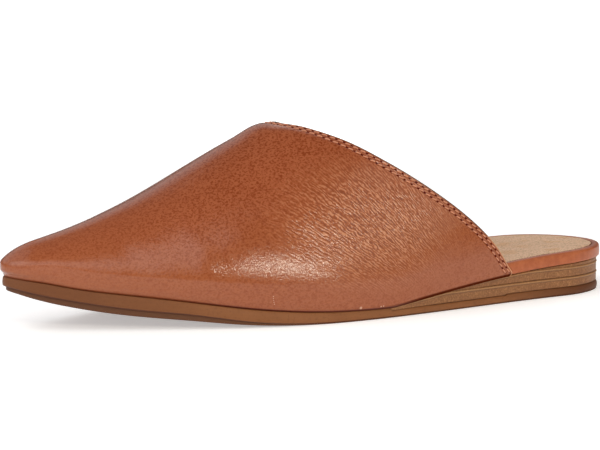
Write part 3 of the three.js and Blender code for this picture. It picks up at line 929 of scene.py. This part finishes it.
class Shader(Nodes):
    """A material built line by line, from its base colour on. Its place is in millimetres."""

    def __init__(self, name, roughness, specular=0.5):
        self.material = bpy.data.materials.new(name)
        super().__init__(self.material)
        self.sockets = self.nodes["Principled BSDF"].inputs
        self.sockets["Roughness"].default_value = roughness
        self.sockets["Specular IOR Level"].default_value = specular
        metres = self.node("TexCoord").outputs["Object"]
        self.place = self.vector("SCALE", {0: metres, "Scale": 1000.0}).outputs["Vector"]

    def vector(self, operation, inputs):
        return self.node("VectorMath", inputs, operation=operation)

    def math(self, operation, *values):
        return self.node("Math", enumerate(values), operation=operation).outputs["Value"]

    def plus(self, one, other):
        return self.math("ADD", one, other)

    def times(self, one, other):
        return self.math("MULTIPLY", one, other)

    def larger(self, one, other):
        return self.math("MAXIMUM", one, other)

    def length(self, vector):
        return self.vector("LENGTH", {0: vector}).outputs["Value"]

    def value(self, name, output="Fac"):
        """What the mesh holds under a name, point by point."""
        return self.node("Attribute", attribute_name=name).outputs[output]

    def station(self):
        """The distance from the back of the heel."""
        return self.math("SUBTRACT", self.part(self.place, "X"), float(SHIFT[0]))

    def drawn(self, stretch, place):
        """The place drawn out along its axes."""
        inputs = {"Vector": place, "Scale": stretch}
        return self.node("Mapping", inputs, vector_type="TEXTURE").outputs["Vector"]

    def noise(self, size, detail=2.0, roughness=0.5, place=None):
        inputs = {"Scale": 1 / size, "Detail": detail, "Roughness": roughness}
        inputs["Vector"] = place or self.place
        return self.node("TexNoise", inputs).outputs["Fac"]

    def cells(self, size):
        inputs = {"Vector": self.place, "Scale": 1 / size, "Smoothness": 0.25}
        node = self.node("TexVoronoi", inputs, feature="SMOOTH_F1")
        return node.outputs["Distance"]

    def between(self, value, low, high):
        """0 at low, 1 at high, and a soft step between."""
        inputs = {"Value": value, "From Min": low, "From Max": high}
        node = self.node("MapRange", inputs, interpolation_type="SMOOTHSTEP")
        return node.outputs["Result"]

    def mixed(self, low, high, share, kind="Float"):
        """A mix of two values or, for kind Color, of two colours."""
        data_type = {"Float": "FLOAT", "Color": "RGBA"}[kind]
        node = self.node("Mix", {"Factor": share}, data_type=data_type)
        ends = {socket.identifier: socket for socket in node.inputs}
        self.put(ends[f"A_{kind}"], low)
        self.put(ends[f"B_{kind}"], high)
        return next(socket for socket in node.outputs if socket.identifier == f"Result_{kind}")

    def colour(self, low, high, share):
        return self.mixed(low, high, share, "Color")

    def tint(self, tone, share, amount=1.0):
        """A tone in sRGB values laid over the base, by a share that varies and an amount."""
        share = self.times(share, amount) if amount < 1 else share
        self.base = self.colour(self.base, srgb(*tone), share)

    def marks(self, rows):
        """Where small round marks lie at places of the shoe."""
        found = 0.0
        for *middle, radius in zip(*rows.values()):
            inputs = {0: self.place, 1: tuple(np.array(middle) + SHIFT)}
            offset = self.vector("SUBTRACT", inputs).outputs["Vector"]
            found = self.larger(found, self.between(self.length(offset), radius, 0.5 * radius))
        return found

    def bump(self, height, depth, strength=1.0):
        """The surface's normal over a height, whose 1 is depth in millimetres."""
        inputs = {"Height": height, "Distance": depth * 0.001, "Strength": strength}
        return self.node("Bump", inputs).outputs["Normal"]

    def finish(self, normal=None, roughness=None, specular=None):
        self.put(self.sockets["Base Color"], self.base)
        varied = {"Normal": normal, "Roughness": roughness, "Specular IOR Level": specular}
        for name, value in varied.items():
            if value is not None:
                self.put(self.sockets[name], value)
        return self.material


def vamp_leather():
    s = Shader("vamp_leather", 0.3, 0.45)
    station, level = s.station(), s.value("level")
    broad = s.noise(34, 2.0)
    mottle = s.noise(2.2, 3.0, 0.6)

    # Fine pits of the grain, lying along the shoe
    lengthwise = s.drawn((1.7, 1.0, 1.0), s.place)
    grain = s.noise(0.62, 2.0, 0.6, lengthwise)
    broken_up = s.noise(0.8, 1.0, 0.5, s.drawn((1.0, 1.3, 1.0), s.place))
    pit = s.times(s.between(grain, 0.6, 0.44), s.between(broken_up, 0.38, 0.56))

    # The pulled grain: nearly parallel ridges that waver, break off and join
    pulled, pull_place = s.value("pulled"), s.value("pull_place", "Vector")
    waver = s.noise(2.4, 2.0, 0.6, s.drawn((2.2, 1.0, 1.0), pull_place))
    phase = s.plus(s.part(pull_place, "Y"), s.times(waver, 3.2))
    ridges = s.math("SINE", s.times(phase, 2 * np.pi / PULL_PITCH))
    ridges = s.plus(s.times(ridges, 0.5), 0.5)
    broken = s.noise(0.6, 1.0, 0.5, s.drawn((2.6, 1.0, 1.0), pull_place))
    lines = s.plus(s.times(ridges, 0.45), s.times(broken, 1.1))
    painted_ridge_highlight = s.times(s.between(lines, 0.8, 1.05), pulled)
    painted_furrow_shade = s.times(s.between(lines, 0.76, 0.52), pulled)

    # Heights in millimetres
    pebble = s.noise(1.3, 1.0, 0.5, lengthwise)
    plain_height = s.plus(s.times(grain, 0.055), s.times(pebble, 0.05))
    height = s.mixed(plain_height, s.times(lines, 0.125), pulled)

    # Leather tones low on the side and high up; the grain's pits darkened, partly their own tone and
    # partly painted shade, fainter low down and towards the toe
    low_tone = s.colour(srgb(143, 76, 42), srgb(152, 85, 50), broad)
    high_tone = s.colour(srgb(147, 77, 46), srgb(159, 88, 56), broad)
    burnish = s.between(s.plus(level, s.times(broad, 0.3)), 0.35, 1.1)
    s.base = s.colour(low_tone, high_tone, burnish)
    s.tint((132, 62, 32), s.between(mottle, 0.45, 0.7), 0.3)
    fainter_to_toe = s.mixed(1.0, 0.5, s.between(station, 170, 250))
    pit_depth = s.times(s.between(level, -0.6, 0.9), fainter_to_toe)
    pit_tone_and_shade = s.times(s.mixed(pit, 0.0, pulled), pit_depth)
    s.tint((116, 48, 19), pit_tone_and_shade, 0.9)
    # Painted highlight on the tops of the pulled ridges and painted shade in the furrows between them
    s.tint((216, 154, 114), painted_ridge_highlight, 0.46)
    s.tint((104, 42, 17), painted_furrow_shade, 0.62)

    # Painted shade along the stitch rows and in the seams over the sole, specks and the cut edge
    s.tint((92, 34, 18), s.value("rows"), 0.5)
    foot = s.value("foot")
    seam = s.between(foot, 0.8, 0.1)
    seam_shade = s.times(seam, s.mixed(1.0, 0.45, s.between(station, 185, 220)))
    s.tint((86, 34, 18), seam_shade)
    rear_seam_shade = s.times(s.between(foot, 1.2, 0.6), s.between(station, 135, 105))
    s.tint((70, 24, 8), rear_seam_shade, 0.9)
    s.tint((228, 190, 160), s.marks(SPECKS), 0.45)
    edge_tone = s.colour(srgb(52, 38, 30), srgb(214, 158, 116), s.value("tail"))
    s.base = s.colour(s.base, edge_tone, s.times(s.value("edge"), 0.9))

    # The bottoms of the pits, lines and seams lie in shade and shine less
    rough = s.plus(s.plus(0.15, s.times(mottle, 0.06)), s.times(seam, 0.4))
    rough = s.plus(rough, s.times(painted_furrow_shade, 0.1))
    hidden = s.larger(s.times(pit_tone_and_shade, 0.6), s.times(painted_furrow_shade, 0.4))
    hidden = s.larger(hidden, s.larger(s.times(seam, 0.5), rear_seam_shade))
    shine = s.times(s.math("SUBTRACT", 1.0, hidden), 0.45)
    return s.finish(s.bump(height, 1.0), rough, shine)


def footbed_leather():
    s = Shader("footbed_leather", 0.35, 0.38)
    mottle = s.noise(3.0, 3.0, 0.6)
    s.base = s.colour(srgb(150, 74, 36), srgb(166, 88, 47), s.between(mottle, 0.3, 0.7))
    # The groove round the sock lining darkened: partly painted shade in it, partly a dark dotted line
    # along it
    dotted = s.between(s.noise(0.75, 1.0), 0.42, 0.52)
    groove = s.times(s.value("groove"), s.mixed(0.5, 1.0, dotted))
    s.tint((110, 48, 22), groove, 0.8)
    return s.finish(s.bump(s.cells(0.8), 0.06, 0.6), s.plus(0.32, s.times(mottle, 0.1)))


def lining_leather():
    s = Shader("lining_leather", 0.7, 0.3)
    s.base = s.colour(srgb(186, 138, 100), srgb(200, 154, 116), s.noise(2.2, 3.0, 0.6))
    s.tint((214, 160, 118), s.between(s.value("away"), 0.9, 0.2))
    return s.finish(s.bump(s.noise(0.8, 3.0), 0.1, 0.6))


def sock_leather():
    s = Shader("sock_leather", 0.85, 0.25)
    fibre = s.noise(0.9, 4.0, 0.7)
    s.base = s.colour(srgb(216, 178, 148), srgb(230, 194, 164), s.noise(22, 2.0))
    s.tint((214, 164, 122), s.between(s.noise(9, 2.0), 0.5, 0.68), 0.6)
    s.tint((150, 116, 88), s.between(fibre, 0.45, 0.7), 0.8)
    s.tint((110, 80, 58), s.between(s.cells(1.3), 0.25, 0.05), 0.7)
    # Darker along the edge, partly painted shade where it dips into the groove, partly a dark dotted
    # line along it
    dotted = s.between(s.noise(0.75, 1.0), 0.4, 0.52)
    rim = s.times(s.between(s.value("away"), 1.1, 0.4), s.mixed(0.45, 1.0, dotted))
    s.tint((120, 62, 36), rim)
    return s.finish(s.bump(fibre, 0.14, 0.8))


def stack_finish():
    s = Shader("stack_finish", 0.5, 0.35)
    fleck = s.noise(0.7, 3.0, 0.6)
    level = s.value("level")
    s.base = s.colour(srgb(122, 76, 40), srgb(140, 95, 55), s.noise(7, 3.0, 0.6))
    s.tint((106, 62, 32), s.between(fleck, 0.48, 0.62), 0.6)
    s.tint((180, 130, 82), s.between(fleck, 0.45, 0.3), 0.5)
    # Painted highlight along each bead, painted shade just under it and at the foot of each layer
    s.tint((172, 128, 84), s.value("bead"), 0.6)
    shade_under_bead = s.times(s.between(level, 0.68, 0.77), s.between(level, 0.84, 0.79))
    s.tint((86, 50, 26), shade_under_bead, 0.6)
    s.tint((76, 44, 28), s.between(level, 0.1, 0.0))
    return s.finish(s.bump(fleck, 0.12, 0.6))


def outsole_finish():
    s = Shader("outsole_finish", 0.55, 0.2)
    station, level = s.station(), s.value("level")
    speck = s.noise(1.1, 3.0, 0.6)
    s.base = s.colour(srgb(116, 70, 38), srgb(138, 88, 52), s.noise(16, 3.0))
    s.tint((92, 50, 26), s.between(station, 175, 255), 0.65)
    s.tint((90, 49, 22), s.between(station, 75, 15))
    s.tint((92, 54, 30), s.between(speck, 0.5, 0.75), 0.35)
    s.tint((94, 66, 40), s.between(level, 0.1, 0.0), 0.75)
    # Painted shade along the foot of the edge band, where it meets the lower step
    groove = s.times(s.between(level, 0.1, 0.03), s.between(level, -0.01, 0.01))
    s.tint((84, 44, 30), groove)
    return s.finish(s.bump(speck, 0.05, 0.5))


def plain(name, tone, roughness, specular=0.5):
    """A finish of one tone and its shade, for small things."""
    s = Shader(name, roughness, specular)
    light = srgb(*tone)
    dark = (*(0.75 * part for part in light[:3]), 1.0)
    s.base = s.colour(dark, light, s.noise(1.2, 2.0))
    return s.finish()


# Putting the shoe together
def dress(piece, material, slot, *nodes):
    """A piece's material, its body, its slot, which is not used, and the nodes that it stands for."""
    piece.data.materials.append(material)
    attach(piece, "root")
    if nodes:
        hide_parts(*nodes)


lower_top = REAR_OUTSOLE + HEEL_LIFT + LAYER_HEIGHTS[0]
middle_top = lower_top + LAYER_HEIGHTS[1]
layers = (
    ("lower", REAR_OUTSOLE, lower_top, True),
    ("middle", lower_top, middle_top, False),
    ("top", middle_top, WEDGE_SEAT, False),
)

dress(upper_leather(), vamp_leather(), "upper_leather", "upper")
dress(upper_lining(), lining_leather(), "sock_suede")
dress(collar_stitches(), plain("thread", (206, 134, 98), 0.55), "upper_leather")
dress(needle_holes(), plain("hole_shade", (84, 14, 4), 1.0, 0.0), "upper_leather")
dress(outsole_rubber(), outsole_finish(), "outsole_rubber", "outsole")
stack_material = stack_finish()
for label, low, high, lifted in layers:
    layer = stack_layer(f"stack_{label}", low, high, lifted)
    dress(layer, stack_material, "wedge_stack", f"wedge_layer_{label}")
dress(footbed_cover(), footbed_leather(), "footbed_leather", "footbed")
dress(sock_suede(), sock_leather(), "sock_suede", "sock_lining")


# Floor, light and camera, with their lengths in metres
FLOOR_SIZE = 9.0
FLOOR_GLOW = 0.4  # the floor's own light near the shoe
FAR_GLOW = 1.1  # and far off, where the lamps don't reach it
NEAR_FLOOR, FAR_FLOOR = 900, 2300  # where the one begins to turn into the other, in millimetres
LIGHT_DISTANCE = 1.3
WHITE, WARM = (1.0, 1.0, 1.0), (1.0, 0.95, 0.8)
ROOM_SHADE, ROOM_LIGHT = 0.1, 0.42
ROOM_LIGHT_END = 0.11  # how far up, as the sine of the angle, the room's low light reaches


def plain_floor():
    bpy.ops.mesh.primitive_plane_add(size=FLOOR_SIZE, location=(0, 0, 0))
    floor = bpy.context.object
    floor.name = "floor"
    s = Shader("floor_paper", 0.9, 0.2)
    far_off = s.between(s.length(s.place), NEAR_FLOOR, FAR_FLOOR)
    s.put(s.sockets["Emission Color"], srgb(255, 255, 255))
    s.put(s.sockets["Emission Strength"], s.mixed(FLOOR_GLOW, FAR_GLOW, far_off))
    s.base = s.colour(srgb(240, 240, 240), srgb(246, 246, 246), s.noise(300))
    floor.data.materials.append(s.finish())


def direction(azimuth, elevation):
    """The way out from the shoe, its azimuth from the outer side (0) towards the toe (90)."""
    around, above = np.radians([azimuth, elevation])
    return np.array([np.sin(around) * np.cos(above), np.cos(around) * np.cos(above), np.sin(above)])


def area_light(name, size, power, place, colour=WHITE):
    data = bpy.data.lights.new(name, "AREA")
    data.shape = "RECTANGLE"
    data.size, data.size_y = size
    data.energy = power
    data.color = colour
    light = add_object(name, data)
    light.location = place
    return light


def soft_light(name, azimuth, elevation, size, power, roll=0.0, colour=WHITE):
    """A soft box aimed at the shoe."""
    towards = Vector(direction(azimuth, elevation))
    light = area_light(name, size, power, LIGHT_DISTANCE * towards, colour)
    turned = Quaternion((0, 0, 1), np.radians(roll))
    light.rotation_euler = ((-towards).to_track_quat("-Z", "Y") @ turned).to_euler()


def floor_wash():
    """A soft box behind the shoe that lights only the floor there, its back to the shoe."""
    light = area_light("floor_wash", (2.6, 0.5), 12, (-0.4, -0.8, 0.6))
    light.rotation_euler = Vector((-0.35, -0.75, -0.6)).to_track_quat("-Z", "Y").to_euler()


def pale_world():
    """A dim room, a little lighter low down where its walls meet the floor."""
    world = bpy.data.worlds.new("pale_room")
    bpy.context.scene.world = world
    room = Nodes(world)
    height = room.part(room.node("TexCoord").outputs["Generated"], "Z")
    inputs = {"Value": height, "From Max": ROOM_LIGHT_END, "To Min": ROOM_LIGHT, "To Max": ROOM_SHADE}
    shade = room.node("MapRange", inputs).outputs["Result"]
    room.put(room.nodes["Background"].inputs["Color"], shade)


# Camera: the photograph's angle to the shoe, from its outer side, a little in front and above
VIEW_AZIMUTH, VIEW_ELEVATION = 28.0, 7.5
VIEW_DISTANCE = 1100.0
VIEW_TARGET = np.array([142.0, 0.0, 34.0])
FOCAL_PIXELS = 2692.0
IMAGE_WIDTH = 600.0
SENSOR_WIDTH = 36.0


def photo_camera():
    data = bpy.data.cameras.new("camera")
    data.sensor_width = SENSOR_WIDTH
    data.lens = FOCAL_PIXELS * SENSOR_WIDTH / IMAGE_WIDTH
    data.clip_start, data.clip_end = 0.05, 50.0
    camera = add_object("camera", data)
    back = direction(VIEW_AZIMUTH, VIEW_ELEVATION)
    camera.location = to_world(VIEW_TARGET + VIEW_DISTANCE * back)
    camera.rotation_euler = Vector(-back).to_track_quat("-Z", "Y").to_euler()
    bpy.context.scene.camera = camera


bpy.context.scene.view_settings.view_transform = "Standard"
plain_floor()
pale_world()
soft_light("key", -10, 18, (0.72, 0.04), 5.4, roll=-31, colour=WARM)
soft_light("left_panel", -50, 30, (0.8, 0.8), 2.6, colour=WARM)
soft_light("right_panel", 66, 36, (2.1, 1.4), 16)
soft_light("inner_panel", 120, 42, (1.4, 1.2), 3)
soft_light("heel_panel", -125, 45, (1.2, 1.0), 3)
soft_light("rear_panel", 185, 32, (1.8, 0.7), 2.0)
floor_wash()
photo_camera()
